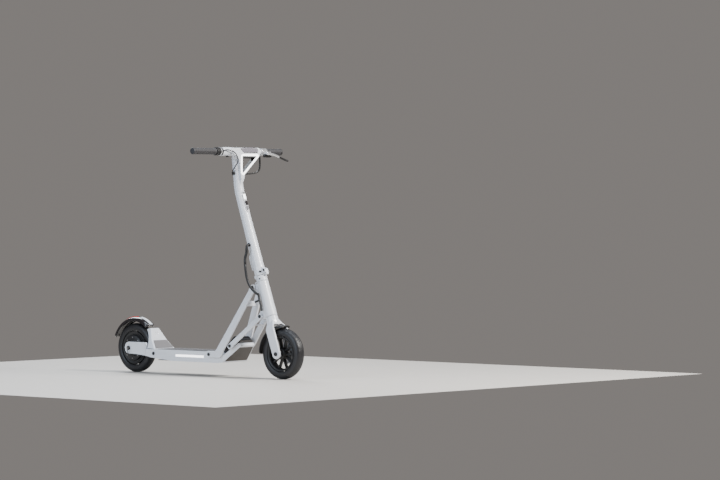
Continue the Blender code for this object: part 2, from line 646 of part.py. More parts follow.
def build_collar():
    collar = turned("steering_collar", [(0.0, JOINT_S - GAP), (COLLAR_R, JOINT_S - GAP),
                                        (COLLAR_R, SEAM_HIGH + 0.0004),
                                        (STEERER_R + GAP, SEAM_HIGH + 0.0004),
                                        (STEERER_R + GAP, JOINT_S - 0.0150),
                                        (0.0, JOINT_S - 0.0150)], 28, "Z", steer_frame, WHITE, closed=False)
    peg = cylinder("rear_peg", 0.0033, -0.0480, -0.0200, "X", (0, 0, JOINT_S - 0.0205), steer_frame,
                   group=cutters, sides=16)
    ears = cylinder("hinge_ears", KNUCKLE_R, -0.0200, 0.0200, "Y", (HINGE_A, 0, JOINT_S), steer_frame,
                    group=cutters)
    slot = cylinder("knuckle_seat", KNUCKLE_R + 0.0006, -0.0105, 0.0105, "Y", (HINGE_A, 0, JOINT_S),
                    steer_frame,
                    group=cutters)
    behind = box("knuckle_way", (HINGE_A - 0.03, -0.0105, JOINT_S - 0.0128),
                 (HINGE_A, 0.0105, JOINT_S + 0.02), steer_frame,
                 group=cutters)
    bore = cylinder("hinge_bore", 0.0037, -0.05, 0.05, "Y", (HINGE_A, 0, JOINT_S), steer_frame,
                    group=cutters, sides=16)
    seats = [cylinder("pin_seat_%d" % sign, 0.0062, min(sign * 0.0202, sign * 0.03),
                      max(sign * 0.0202, sign * 0.03), "Y",
                      (HINGE_A, 0, JOINT_S), steer_frame, group=cutters, sides=16) for sign in (-1, 1)]
    join(collar, peg, ears)
    cut(collar, *seats)
    cut(collar, slot, behind, bore)
    turned("hinge_pin", [(0, 0.0222), (0.0056, 0.0222), (0.0056, 0.0204), (0.0034, 0.0204), (0.0034, -0.0204),
                         (0.0056, -0.0204), (0.0056, -0.0222), (0, -0.0222)], 16, "Y", steer_frame, BLACK,
           False,
           location=(HINGE_A, 0, JOINT_S))


def build_front_wheel():
    turned("front_tyre", tyre_profile(0.0800, 0.0190), 28, "Y", front_axle_frame, RUBBER)
    rim = turned("front_rim", [(0.0797, 0.0205), (0.0797, -0.0205), (0.0745, -0.0205), (0.0700, -0.0140),
                               (0.0700, 0.0140), (0.0745, 0.0205)], 28, "Y", front_axle_frame, BLACK)
    hub = turned("rim_hub", [(0.0270, 0.0230), (0.0270, -0.0230), (0.0143, -0.0230), (0.0143, 0.0230)], 32,
                 "Y",
                 front_axle_frame, BLACK, group=cutters)
    join(rim, hub)
    for k in range(5):
        spoke = box("spoke_%d" % k, (0.0240, -0.0060, -0.0085), (0.0720, 0.0060, 0.0085), front_axle_frame,
                    BLACK, cutters)
        spoke.rotation_euler = (0, math.radians(18 + 72 * k), 0)
        join(rim, spoke)
    turned("hub_bearing", [(0.0140, 0.0225), (0.0140, 0.0150), (0.0075, 0.0150), (0.0075, -0.0150),
                           (0.0140, -0.0150),
                           (0.0140, -0.0225), (0.0053, -0.0225), (0.0053, 0.0225)], 16, "Y",
           front_axle_frame, STEEL)
    axle = cylinder("front_axle", 0.0050, -0.0545, 0.0545, "Y", parent=front_axle_frame, mat=BLACK, sides=20)
    heads = [cylinder("axle_head_%d" % s, 0.0095, min(s * 0.0533, s * 0.0575), max(s * 0.0533, s * 0.0575),
                      "Y",
                      parent=front_axle_frame, group=cutters, sides=20) for s in (-1, 1)]
    join(axle, *heads)
    plate = tube_ring("brake_plate", 0.0480, 0.0053, 0.0280, 0.0330, 24, parent=front_axle_frame, mat=SILVER)
    arm = box("brake_arm", (-0.0110, 0.0300, 0.0200), (0.0110, 0.0400, 0.0620), front_axle_frame, SILVER,
              cutters)
    join(plate, arm)


def build_front_fender():
    section = fender_section(0.1335, 0.1240, 0.0330, 0.0022)
    arc_band("front_fender", section, 82, 181, 14, front_axle_frame, BLACK)


# ---- stem and head ----
LATCH_PIVOT = (-HINGE_A + 0.0375, 0, 0.0190)   # hinge frame


def offset_triangle(corners, distance):
    """Moves each side of a triangle outward by a distance."""
    moved = []
    for i in range(3):
        a, b, c = (Vector(corners[(i + k - 1) % 3]) for k in range(3))
        first, second = (b - a).normalized(), (c - b).normalized()
        n1, n2 = Vector((first.y, -first.x)), Vector((second.y, -second.x))
        middle = (n1 + n2).normalized()
        moved.append(b + middle * (distance / middle.dot(n1)))
    return moved


RING_LINE = [(-0.0044, 0.0620), (0.1256, RING_TOP), (0.0066, RING_TOP)]   # lower, outer and inner corners
RING_RADII = (0.0090, 0.0030, 0.0110)


def ring_loop(distance):
    return [(p.x, p.y, max(0.0012, r + distance)) for p, r in zip(offset_triangle(RING_LINE, distance),
                                                                  RING_RADII)]


def build_stem():
    """The stem tube, its hinge knuckle, the latch ears and the head casting, welded as one piece."""
    top = BEND_S - JOINT_S
    centre = -HINGE_A
    path = [(centre, 0.0015, 0.0270), (centre, 0.004, 0.0278), (centre, 0.031, 0.0278),
            (centre, 0.040, 0.0264),
            (centre, 0.170, STEM_R), (centre, 0.230, 0.0245), (centre, 0.310, 0.0235),
            (centre, top - 0.045, 0.0229),
            (centre + 0.0005, top - 0.015, 0.0226), (centre + 0.0035, top + 0.015, 0.0224)]
    for height, radius in ((0.045, NECK_R), (0.150, NECK_R), (0.168, 0.0195), (0.178, 0.0120)):
        path.append((centre + height * math.sin(BEND), top + height * math.cos(BEND), radius))
    curve = bpy.data.curves.new("stem", "CURVE")
    curve.dimensions = "3D"
    curve.bevel_depth = 1.0
    curve.bevel_resolution = 9
    curve.use_fill_caps = True
    curve.resolution_u = 1
    curve.render_resolution_u = 0
    spline = curve.splines.new("POLY")
    spline.points.add(len(path) - 1)
    for point, (a, s, r) in zip(spline.points, path):
        point.co = (a, 0, s, 1)
        point.radius = r
    stem = put(smooth(baked(bpy.data.objects.new("stem", curve))), hinge_frame, WHITE)
    foot = box("stem_foot_plane", (-0.1, -0.1, -0.1), (0.1, 0.1, 0.0), hinge_frame, group=cutters)
    relief = cylinder("ear_relief", KNUCKLE_R + 0.0026, -0.03, 0.03, "Y", parent=hinge_frame, group=cutters)
    knuckle = cylinder("knuckle", KNUCKLE_R, -0.0100, 0.0100, "Y", parent=hinge_frame, group=cutters)
    rib = box("knuckle_rib", (-0.0060, -0.0100, 0.0), (0.0080, 0.0100, 0.0165), hinge_frame, group=cutters)
    bore = cylinder("knuckle_bore", 0.0037, -0.05, 0.05, "Y", parent=hinge_frame, group=cutters, sides=16)
    cut(stem, foot, relief)
    join(stem, knuckle, rib)
    cut(stem, bore)
    inner = cylinder("stem_hollow", 0.0200, 0.020, top - 0.060, "Z", (centre, 0, 0), hinge_frame,
                     group=cutters)
    mouth = cylinder("stem_mouth", 0.0080, -0.01, 0.030, "Z", (centre + 0.006, 0, 0), hinge_frame,
                     group=cutters)
    cut(stem, inner, mouth)
    for sign in (-1, 1):
        low, high = sorted((sign * 0.0076, sign * 0.0120))
        ear = slab("latch_ear_%d" % sign, [(centre + 0.018, 0.004, 0.002), (centre + 0.0440, 0.004, 0.004),
                                           (centre + 0.0440, 0.0240, 0.006),
                                           (centre + 0.018, 0.0420, 0.004)], high - low,
                   at=(low + high) / 2, parent=hinge_frame, group=cutters)
        join(stem, ear)
    cut(stem, cylinder("latch_bore", 0.0033, -0.05, 0.05, "Y", LATCH_PIVOT, hinge_frame, group=cutters,
                       sides=16))
    fin = slab("stem_rear_fin", [(centre - 0.020, 0.1280, 0), (centre - 0.020, 0.0380, 0),
                                 (centre - 0.0395, 0.0400, 0.003),
                                 (centre - 0.0400, 0.1050, 0.020)], 0.0180, parent=hinge_frame, group=cutters)
    join(stem, soften(fin, 0.0025, 2, 50))
    pocket = box("latch_pocket", (centre + 0.0265, -0.0076, -0.002), (centre + 0.06, 0.0076, 0.0300),
                 hinge_frame,
                 group=cutters)
    cut(stem, pocket)
    join(stem, *head_casting())
    cut(stem, slab("ring_window", ring_loop(-0.0010), 0.0800, "YZ", 0.0, head_frame, group=cutters, steps=5))
    cut(stem, cylinder("bar_bore", 0.0148, -0.2, 0.2, "Y", (0, 0, BAR_Z), head_frame, group=cutters,
                       sides=28))
    cut(stem, cylinder("button_well", 0.0068, 0.1968, 0.2100, "Z", (0, 0.1000, 0), head_frame, group=cutters,
                       sides=20))
    groove = slab("ring_groove", ring_loop(0.0047), 0.0080, "YZ", FACE, head_frame, group=cutters, steps=5)
    housing = headlight_shape("headlight_mouth", GAP, cutters)
    cut(stem, groove, housing)


def head_casting():
    """The triangular frame, the boxy bar casing over it, and the round arm toward the throttle."""
    outline = [(-0.0100, 0.0240, 0.006), (-0.0120, 0.1400, 0.030), (-0.0300, 0.1620, 0.020),
               (-0.0600, 0.1640, 0.004),
               (-0.0600, 0.1990, 0.006), (0.1360, 0.1990, 0.008), (0.1360, 0.1680, 0.006),
               (0.1290, 0.1587, 0.006), (0.0165, 0.0700, 0.030), (0.0060, 0.0240, 0.006)]
    frame = slab("head_casting", outline, FACE - RING_BACK, "YZ", (FACE + RING_BACK) / 2, head_frame,
                 group=cutters,
                 steps=5)
    draw_in(frame, 0.054, 0.024, 0.0095)
    casing = slab("bar_casing", [(-0.0580, 0.1650, 0.008), (-0.0580, 0.1985, 0.008), (0.1350, 0.1985, 0.008),
                                 (0.1350, 0.1705, 0.008)], 0.0430, "YZ", 0.0, head_frame, group=cutters)
    soften(casing, 0.0080, 3, 50)
    arm = turned("bar_arm", [(0, -0.0100), (0.0180, -0.0200), (0.0205, -0.0500), (0.0205, -0.1110),
                             (0, -0.1110)], 28, "Y",
                 head_frame, closed=False, group=cutters, location=(0, 0, BAR_Z))
    return frame, casing, arm


def draw_in(obj, start, end, depth):
    """Draws the front face back below a height, so that the casting runs out into the neck."""
    bm = bmesh.new()
    bm.from_mesh(obj.data)
    for z in (start, (start + end) / 2):
        geometry = bm.verts[:] + bm.edges[:] + bm.faces[:]
        bmesh.ops.bisect_plane(bm, geom=geometry, plane_co=(0, 0, z), plane_no=(0, 0, 1), dist=1e-6)
    for vertex in bm.verts:
        if vertex.co.z < start and vertex.co.x > 0:
            share = min(1.0, (start - vertex.co.z) / (start - end))
            vertex.co.x -= depth * share * share * (3 - 2 * share)
    bm.to_mesh(obj.data)
    bm.free()


def build_head_fittings():
    slab("head_light_ring", ring_loop(0.0043), 0.0030, "YZ", FACE - 0.0019, head_frame, LAMP,
         holes=[ring_loop(-0.0043)],
         steps=5)
    low, right, left = offset_triangle(RING_LINE, -0.0040)
    brow = 0.1520
    share = (brow - low.y) / (right.y - low.y)
    window = [(low.x, low.y, 0.005), (low.x + (right.x - low.x) * share, brow, 0.0015), (left.x, brow, 0.006)]
    front, back = FACE - 0.0049, RING_BACK + GAP
    slab("head_liner", ring_loop(-0.0014), front - back, "YZ", (front + back) / 2, head_frame, BLACK,
         holes=[window],
         steps=5)
    bar = [(-0.0010, 0.1965, 0.001), (0.0195, 0.1780, 0.003), (0.1185, 0.1780, 0.006),
           (0.1185, 0.1965, 0.006)]
    display = slab("display", bar, 0.0026, "YZ", FACE + GAP + 0.0013, head_frame, GLOSS)
    screen = [(-0.0140, 0.0160, 0.004), (FACE + 0.0020, 0.0160, 0.001), (FACE + 0.0020, 0.1120, 0.001),
              (-0.0140, 0.1120, 0.004)]
    button_hole = plain(ring_points(0.0, 0.1000, 0.0066, 0, 348, 29))
    glass = slab("display_glass", screen, 0.0012, "XY", 0.1990 + GAP + 0.0006, head_frame, group=cutters,
                 holes=[button_hole])
    tab = box("display_tab", (FACE + GAP, 0.0500, 0.1900), (FACE + 0.0020, 0.0800, 0.2003), head_frame,
              group=cutters)
    join(display, tab, glass)
    button = empty("power_button_axis", (0.0, 0.1000, 0.1990 - 0.0005), head_frame)
    cylinder("power_button", 0.0062, 0.0007, 0.0036, "Z", parent=button, mat=SILVER, sides=20)


def headlight_shape(name, grow, group):
    """A slim rounded module let into the front of the stem below the bend."""
    top = BEND_S - JOINT_S
    half = 0.0100 + grow
    centre = -HINGE_A
    outline = [(-half, top - 0.118 - grow, half * 0.99), (half, top - 0.118 - grow, half * 0.99),
               (half, top - 0.016 + grow, half * 0.99), (-half, top - 0.016 + grow, half * 0.99)]
    depth = 0.0160
    return slab(name, outline, depth + 2 * grow, "YZ", centre + 0.0158, hinge_frame, GLOSS, group)


def build_headlight():
    top = BEND_S - JOINT_S
    front = -HINGE_A + 0.0238
    housing = headlight_shape("headlight_housing", 0.0, parts)
    window = box("light_window", (front - 0.004, -0.0070, top - 0.0870),
                 (front + 0.0015, 0.0070, top - 0.0640),
                 hinge_frame, group=cutters)
    join(housing, window)
    soften(housing, 0.0010, 2)
    box("headlight_lens", (front + GAP, -0.0075, top - 0.0540), (front + GAP + 0.0016, 0.0075, top - 0.0300),
        hinge_frame,
        LAMP, bevel=0.0005)


def build_handlebar():
    stops = [(0, BAR_HALF - 0.0035), (0.0110, BAR_HALF - 0.0035), (0.0110, 0.1390), (0.0145, 0.1370),
             (0.0145, -0.1090),
             (0.0110, -0.1110), (0.0110, -BAR_HALF + 0.0035), (0, -BAR_HALF + 0.0035)]
    turned("handlebar", stops, 24, "Y", head_frame, WHITE, False, location=(0, 0, BAR_Z))
    inner, outer = 0.0113, 0.0152
    for sign, name, start in ((-1, "grip_right", 0.1520), (1, "grip_left", 0.1990)):
        profile = [(0, BAR_HALF), (outer - 0.002, BAR_HALF), (0.0157, BAR_HALF - 0.002),
                   (0.0157, BAR_HALF - 0.006),
                   (outer, BAR_HALF - 0.009), (outer, start + 0.007), (0.0165, start + 0.005),
                   (0.0165, start),
                   (inner, start), (inner, BAR_HALF - 0.0032), (0, BAR_HALF - 0.0032)]
        grip = turned(name, profile, 20, "Y", head_frame, GRIP, False, location=(0, 0, BAR_Z))
        if sign < 0:
            grip.rotation_euler = (math.pi / 2, 0, 0)
    tube_ring("throttle_housing", 0.0200, 0.0113, -0.1370, -0.1115, 28, parent=head_frame, mat=BLACK,
              location=(0, 0, BAR_Z))
    throttle = empty("throttle_axis", (0, 0, BAR_Z), head_frame)
    lever = tube_ring("throttle_lever", 0.0195, 0.0113, -0.1510, -0.1375, 28, parent=throttle, mat=BLACK)
    paddle = box("throttle_paddle", (-0.0360, -0.1490, -0.0170), (-0.0090, -0.1390, -0.0120), throttle,
                 BLACK, cutters)
    paddle.rotation_euler = (0, math.radians(20), 0)
    join(lever, paddle)
    hook = slab("bag_hook", [(-0.005, -0.0270, 0.002), (0.005, -0.0270, 0.002), (0.005, -0.0208, 0),
                             (-0.005, -0.0208, 0)],
                0.008, at=-0.0700, parent=head_frame, mat=BLACK)
    hook.location = (0, 0, BAR_Z)


def build_brake():
    clamp = tube_ring("brake_clamp", 0.0175, 0.0113, 0.1590, 0.1960, 28, parent=head_frame, mat=SILVER,
                      location=(0, 0, BAR_Z))
    body = box("clamp_body", (0.0100, 0.1640, -0.0200), (0.0440, 0.1920, -0.0030), head_frame, SILVER,
               cutters)
    body.location = (0, 0, BAR_Z)
    soften(body, 0.003)
    join(clamp, body)
    pivot = empty("brake_axis", (0.0540, 0.1800, BAR_Z - 0.0160), head_frame)
    blade = wire("brake_lever", flowing([(-0.0020, -0.0240, 0.0010), (0.0, -0.0020, 0.0),
                                         (0.0010, 0.030, -0.006),
                                         (-0.003, 0.060, -0.016), (-0.006, 0.092, -0.025),
                                         (-0.002, 0.113, -0.033)]),
                 0.0046, pivot, BLACK)
    hub = cylinder("lever_hub", 0.0085, -0.0060, 0.0060, "Z", parent=pivot, group=cutters, sides=20)
    join(blade, hub)


def build_cables():
    low = BAR_Z - 0.103
    hose = flowing([(-0.010, 0.1640, BAR_Z - 0.0210), (-0.012, 0.1655, BAR_Z - 0.040),
                    (-0.016, 0.1673, BAR_Z - 0.065),
                    (-0.020, 0.1640, BAR_Z - 0.085), (-0.025, 0.1486, BAR_Z - 0.0965),
                    (-0.030, 0.1197, BAR_Z - 0.1012),
                    (-0.0330, 0.078, low), (-0.0345, 0.0180, low), (-0.0345, 0.0030, low)])
    hose_end = cylinder("hose_grommet", 0.0060, -0.0380, -0.0306, "X", (0, 0.0, low), head_frame,
                        group=cutters, sides=20)
    join(wire("brake_hose", hose, 0.0030, head_frame, BLACK), hose_end)
    thin = flowing([(0.0225, -0.1100, BAR_Z + 0.003), (0.0290, -0.095, BAR_Z + 0.005),
                    (0.0315, -0.060, BAR_Z - 0.004),
                    (0.0315, -0.037, BAR_Z - 0.022), (0.0290, -0.0295, BAR_Z - 0.050),
                    (0.0120, -0.0335, BAR_Z - 0.073),
                    (-0.0040, -0.0345, BAR_Z - 0.090), (-0.0095, -0.0280, BAR_Z - 0.101)])
    thin_end = cylinder("thin_grommet", 0.0068, -0.0295, -0.0226, "Y", (-0.0095, 0, low), head_frame,
                        group=cutters,
                        sides=20)
    join(wire("throttle_cable", thin, 0.0017, head_frame, BLACK), thin_end)
    back = -HINGE_A
    cylinder("cable_grommet", 0.0085, -0.0330, -0.0262, "Y", (back, 0, EXIT_H), hinge_frame, BLACK, sides=20)
    guide_a, guide_y, guide_s = GUIDE_TOP
    loop = flowing([(back, -0.0340, EXIT_H), (back, -0.0385, EXIT_H - 0.0003),
                    (back - 0.0015, -0.0430, EXIT_H - 0.0065),
                    (back - 0.0060, -0.0450, EXIT_H - 0.0185),
                    *[(back + a, y, h) for a, y, h in CABLE_LOOP],
                    (back + guide_a - 0.0002, guide_y, guide_s - JOINT_S + 0.0080),
                    (back + guide_a, guide_y, guide_s - JOINT_S + 0.0012)])
    middle = len(loop) // 2
    wire("cable_upper", loop[:middle + 1], 0.0057, hinge_frame, BLACK, 2)
    tail = loop[middle:]
    tail[0] = tail[0] + (tail[1] - tail[0]).normalized() * 0.0006
    wire("cable_lower", [p + Vector((HINGE_A, 0, JOINT_S)) for p in tail], 0.0057, steer_frame, BLACK, 2)


def build_latch():
    pivot = empty("latch_axis", LATCH_PIVOT, hinge_frame)
    body = slab("latch_lever", [(-0.0060, 0.0055, 0.003), (0.0050, 0.0055, 0.004), (0.0075, -0.0080, 0.003),
                                (0.0065, -0.0220, 0.003), (-0.0045, -0.0220, 0.002), (-0.0060, -0.0060, 0)],
                0.0146, parent=pivot, mat=WHITE)
    join(body, cylinder("latch_pin", 0.0030, -0.0140, 0.0140, "Y", parent=pivot, group=cutters, sides=16))


def build_kickstand():
    """A side stand on the left edge of the deck, folded up along it."""
    pivot = empty("kickstand_axis", (STAND_X, STAND_Y, STAND_Z), ground)
    leg = wire("kickstand_leg", flowing([(0, 0, 0), (-0.0200, 0.0010, -0.001), (-0.0600, 0.0030, -0.0030),
                                         (-0.0880, 0.0060, -0.0030)]), 0.0040, pivot, BLACK)
    join(leg, cylinder("stand_hub", 0.0070, -0.0045, 0.0045, "Y", parent=pivot, group=cutters, sides=20))


build_deck()
build_nose_box()
build_charge_cap()
build_dropouts()
heel_pad()
build_kickup()
build_rear_fender()
build_rear_wheel()
build_yokes()
build_head_tube()
build_fork()
build_collar()
build_front_wheel()
build_front_fender()
build_stem()
build_head_fittings()
build_headlight()
build_handlebar()
build_brake()
build_cables()
build_latch()
build_kickstand()
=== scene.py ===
"""Studio scene of the electric kick scooter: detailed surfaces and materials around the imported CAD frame."""
import json
import math

import bmesh
import bpy
from mathutils import Matrix, Vector


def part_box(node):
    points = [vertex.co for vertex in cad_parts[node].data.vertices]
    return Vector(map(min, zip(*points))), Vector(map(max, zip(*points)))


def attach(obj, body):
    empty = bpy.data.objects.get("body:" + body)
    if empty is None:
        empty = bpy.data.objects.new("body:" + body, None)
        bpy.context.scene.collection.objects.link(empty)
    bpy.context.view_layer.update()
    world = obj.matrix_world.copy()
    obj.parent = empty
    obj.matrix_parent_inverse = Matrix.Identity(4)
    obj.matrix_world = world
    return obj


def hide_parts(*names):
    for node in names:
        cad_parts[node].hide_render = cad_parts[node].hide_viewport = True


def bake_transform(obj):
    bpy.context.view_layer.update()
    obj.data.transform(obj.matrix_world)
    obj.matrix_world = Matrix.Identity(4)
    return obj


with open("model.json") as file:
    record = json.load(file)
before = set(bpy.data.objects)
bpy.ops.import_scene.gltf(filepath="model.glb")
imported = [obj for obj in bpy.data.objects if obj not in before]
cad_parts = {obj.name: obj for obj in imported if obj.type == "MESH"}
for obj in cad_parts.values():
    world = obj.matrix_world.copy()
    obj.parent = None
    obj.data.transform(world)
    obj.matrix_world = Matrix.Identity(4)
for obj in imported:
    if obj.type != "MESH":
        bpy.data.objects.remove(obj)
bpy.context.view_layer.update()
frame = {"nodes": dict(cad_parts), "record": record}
nodes = frame["nodes"]


def centre_of(node):
    low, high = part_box(node)
    return (Vector(low) + Vector(high)) / 2


# ---- driving dimensions, in metres, as in the CAD ----
WHEEL_R = 0.120
RIM_R = 0.080
TYRE_HALF = 0.026
FRONT_AXLE = Vector((centre_of("front_axle").x, 0, WHEEL_R))
REAR_AXLE = Vector((centre_of("rear_tyre").x, 0, WHEEL_R))
LEAN = math.radians(19.5)
STEER_X = -0.0156
JOINT_S = 0.3860
BEND_S = 0.8200
HINGE_A = -0.0165
HEAD_LEAN = math.radians(6.3)
BEND = LEAN - HEAD_LEAN
HEAD_AHEAD = 0.0080
BAR_Z = 0.183
BAR_HALF = 0.3055
FACE = 0.0235
STEM_TOP = BEND_S - JOINT_S
TYRE_STEPS = 150            # facets round a tyre
SIPE_EVERY = 5              # facets from one shoulder sipe to the next
SPOKE_PAIRS = 5
MOTOR_SCREWS = 8
MOTOR_SCREW_R = 0.0510      # radius of the ring of motor cover screws
STUD_PITCH = 0.0150
STUD_MARGIN = 0.0110
STUD_SIDES = 12
FLOOR_HALF = 1.7
LATCH = Vector((-HINGE_A + 0.0375, 0, 0.0190))

# ---- the CAD's own frames ----
FRONT = Matrix.Translation(FRONT_AXLE)
REAR = Matrix.Translation(REAR_AXLE)
STEER = Matrix.Translation(FRONT_AXLE + Vector((STEER_X, 0, 0))) @ Matrix.Rotation(-LEAN, 4, "Y")
HINGE = STEER @ Matrix.Translation((HINGE_A, 0, JOINT_S))
HEAD = (HINGE @ Matrix.Translation((-HINGE_A + HEAD_AHEAD * math.cos(BEND), 0,
                                    STEM_TOP - HEAD_AHEAD * math.sin(BEND)))
        @ Matrix.Rotation(BEND, 4, "Y"))
SIDE_ON = Matrix(((1, 0, 0, 0), (0, 0, -1, 0), (0, 1, 0, 0), (0, 0, 0, 1)))
FACE_ON = Matrix(((0, 0, 1, 0), (1, 0, 0, 0), (0, 1, 0, 0), (0, 0, 0, 1)))


# ---- materials ----
def new_material(name, colour, roughness, metallic=0.0, coat=0.0):
    mat = bpy.data.materials.new(name)
    mat.use_nodes = True
    shader = mat.node_tree.nodes["Principled BSDF"]
    shader.inputs["Base Color"].default_value = (*colour, 1.0)
    shader.inputs["Roughness"].default_value = roughness
    shader.inputs["Metallic"].default_value = metallic
    shader.inputs["Coat Weight"].default_value = coat
    shader.inputs["Coat Roughness"].default_value = 0.12
    return mat, mat.node_tree.nodes, mat.node_tree.links, shader


def noise(tree, links, coords, scale, detail, stretch=(1.0, 1.0, 1.0)):
    mapping = tree.new("ShaderNodeMapping")
    mapping.inputs["Scale"].default_value = stretch
    texture = tree.new("ShaderNodeTexNoise")
    texture.inputs["Scale"].default_value = scale
    texture.inputs["Detail"].default_value = detail
    links.new(coords.outputs["Object"], mapping.inputs["Vector"])
    links.new(mapping.outputs["Vector"], texture.inputs["Vector"])
    return texture.outputs["Fac"]


def grained(name, colour, roughness, metallic=0.0, coat=0.0, scale=900.0, bump=0.02, vary=0.05,
            rough_vary=0.05,
            stretch=(1.0, 1.0, 1.0)):
    """A painted, moulded or cast surface: fine grain, broad patches of tone and gloss, paler worn edges."""
    mat, tree, links, shader = new_material(name, colour, roughness, metallic, coat)
    coords = tree.new("ShaderNodeTexCoord")
    grain = noise(tree, links, coords, scale, 3.0, stretch)
    broad = noise(tree, links, coords, 9.0, 2.0)
    gloss = tree.new("ShaderNodeMapRange")
    gloss.inputs["To Min"].default_value = max(0.03, roughness - rough_vary)
    gloss.inputs["To Max"].default_value = min(1.0, roughness + rough_vary)
    links.new(broad, gloss.inputs["Value"])
    links.new(gloss.outputs["Result"], shader.inputs["Roughness"])
    tone = tree.new("ShaderNodeMix")
    tone.data_type = "RGBA"
    tone.inputs["A"].default_value = (*[c * (1 - vary) for c in colour], 1.0)
    tone.inputs["B"].default_value = (*[min(1.0, c * (1 + vary)) for c in colour], 1.0)
    links.new(broad, tone.inputs["Factor"])
    edges = tree.new("ShaderNodeMapRange")
    edges.inputs["From Min"].default_value = 0.52
    edges.inputs["From Max"].default_value = 0.62
    edges.inputs["To Max"].default_value = 0.35
    links.new(tree.new("ShaderNodeNewGeometry").outputs["Pointiness"], edges.inputs["Value"])
    worn = tree.new("ShaderNodeMix")
    worn.data_type = "RGBA"
    worn.inputs["B"].default_value = (*[min(1.0, c * 1.25 + 0.01) for c in colour], 1.0)
    links.new(edges.outputs["Result"], worn.inputs["Factor"])
    links.new(tone.outputs["Result"], worn.inputs["A"])
    links.new(worn.outputs["Result"], shader.inputs["Base Color"])
    dent = tree.new("ShaderNodeBump")
    dent.inputs["Strength"].default_value = bump
    dent.inputs["Distance"].default_value = 0.0003
    links.new(grain, dent.inputs["Height"])
    links.new(dent.outputs["Normal"], shader.inputs["Normal"])
    return mat


def glowing(name, colour, strength):
    """A diffusing light cover, slightly uneven behind its clear front."""
    mat, tree, links, shader = new_material(name, colour, 0.25, coat=0.5)
    coords = tree.new("ShaderNodeTexCoord")
    uneven = tree.new("ShaderNodeMapRange")
    uneven.inputs["To Min"].default_value = strength * 0.92
    uneven.inputs["To Max"].default_value = strength * 1.05
    links.new(noise(tree, links, coords, 60.0, 1.0), uneven.inputs["Value"])
    shader.inputs["Emission Color"].default_value = (*colour, 1.0)
    links.new(uneven.outputs["Result"], shader.inputs["Emission Strength"])
    return mat


WHITE = grained("white_paint", (0.74, 0.765, 0.815), 0.34, coat=0.35, scale=1400, bump=0.01, vary=0.02)
SILVER = grained("silver_alloy", (0.52, 0.53, 0.56), 0.32, 0.7, scale=420, bump=0.05, stretch=(1.0, 1.0, 6.0))
CAST = grained("bright_cast_alloy", (0.72, 0.73, 0.75), 0.26, 0.8, scale=700, bump=0.05)
BLACK = grained("black_plastic", (0.008, 0.008, 0.009), 0.50, scale=1100, bump=0.15)
GLOSS = grained("black_gloss", (0.010, 0.008, 0.010), 0.16, coat=0.5, scale=300, bump=0.01)
RUBBER = grained("tyre_rubber", (0.008, 0.008, 0.010), 0.48, scale=900, bump=0.2)
GRIP = grained("grip_rubber", (0.036, 0.035, 0.038), 0.66, scale=900, bump=0.3)
MAT = grained("deck_mat", (0.16, 0.155, 0.16), 0.85, scale=700, bump=0.4)
STUD = grained("mat_studs", (0.045, 0.043, 0.045), 0.70, scale=900, bump=0.3)
# Dark plastic underside of the nose: its warm brown cast is painted bounce light from the floor, and part of
# its darkness is painted shade on this downward-facing panel.
BOUNCE_SHADED_BROWN = grained("under_panel", (0.030, 0.022, 0.017), 0.45, scale=500, bump=0.3)
STEEL = grained("steel", (0.42, 0.42, 0.44), 0.32, 1.0, scale=500, bump=0.05)
# Dark display glass; its lilac tint is a painted reflection of the wall and sky.
REFLECTION_TINTED_GLASS = grained("display_glass", (0.20, 0.19, 0.22), 0.18, coat=0.8, scale=200, bump=0.01)
PALE = grained("pale_bezel", (0.62, 0.63, 0.65), 0.30, scale=700, bump=0.03)
GREY = grained("smoked_lens", (0.20, 0.20, 0.22), 0.20, coat=0.6, scale=300, bump=0.02)
LAMP = glowing("white_lens", (1.0, 1.0, 1.0), 3.0)
RED = glowing("red_lens", (0.55, 0.02, 0.02), 0.35)
BY_SLOT = {"white_paint": WHITE, "silver_alloy": SILVER, "black_plastic": BLACK, "black_gloss": GLOSS,
           "tyre_rubber": RUBBER, "grip_rubber": GRIP, "deck_mat_rubber": MAT, "under_panel": BOUNCE_SHADED_BROWN,
           "steel": STEEL,
           "white_lens": LAMP, "red_lens": RED, "battery_wrap": BLACK}


def dress_cad_nodes():
    for part in frame["record"]["subparts"]:
        nodes[part["node"]].data.materials.clear()
        nodes[part["node"]].data.materials.append(BY_SLOT[part["material_slot"]])
    for name, mat in (("display", REFLECTION_TINTED_GLASS), ("headlight_housing", PALE), ("hinge_pin", WHITE)):
        nodes[name].data.materials.clear()
        nodes[name].data.materials.append(mat)


# ---- making pieces ----
def finished(obj, body, replaced=()):
    bpy.context.scene.collection.objects.link(obj)
    if body:
        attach(obj, body)
    if replaced:
        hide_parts(*replaced)
    return obj


def piece(name, bm, mat, body, place, replaced=(), angle=35.0):
    """A mesh piece, placed by its frame, with smooth shading across soft edges."""
    bmesh.ops.remove_doubles(bm, verts=bm.verts, dist=1e-6)
    bmesh.ops.recalc_face_normals(bm, faces=bm.faces)
    mesh = bpy.data.meshes.new(name)
    bm.to_mesh(mesh)
    bm.free()
    mesh.transform(place)
    mesh.shade_smooth()
    mesh.set_sharp_from_angle(angle=math.radians(angle))
    mesh.materials.append(mat)
    return finished(bpy.data.objects.new(name, mesh), body, replaced)


def spun(profile, steps, closed=True, bm=None):
    """A (radius, y) outline turned about the local Y axis."""
    bm = bm or bmesh.new()
    verts = [bm.verts.new((r, y, 0)) for r, y in profile]
    edges = [bm.edges.new(pair) for pair in zip(verts, verts[1:])]
    if closed:
        edges.append(bm.edges.new((verts[-1], verts[0])))
    bmesh.ops.spin(bm, geom=verts + edges, cent=(0, 0, 0), axis=(0, 1, 0), angle=math.tau, steps=steps,
                   use_duplicate=False)
    return bm


def mirrored(half):
    """An outline and its mirror image across y = 0."""
    return half + [(r, -y) for r, y in reversed(half)]


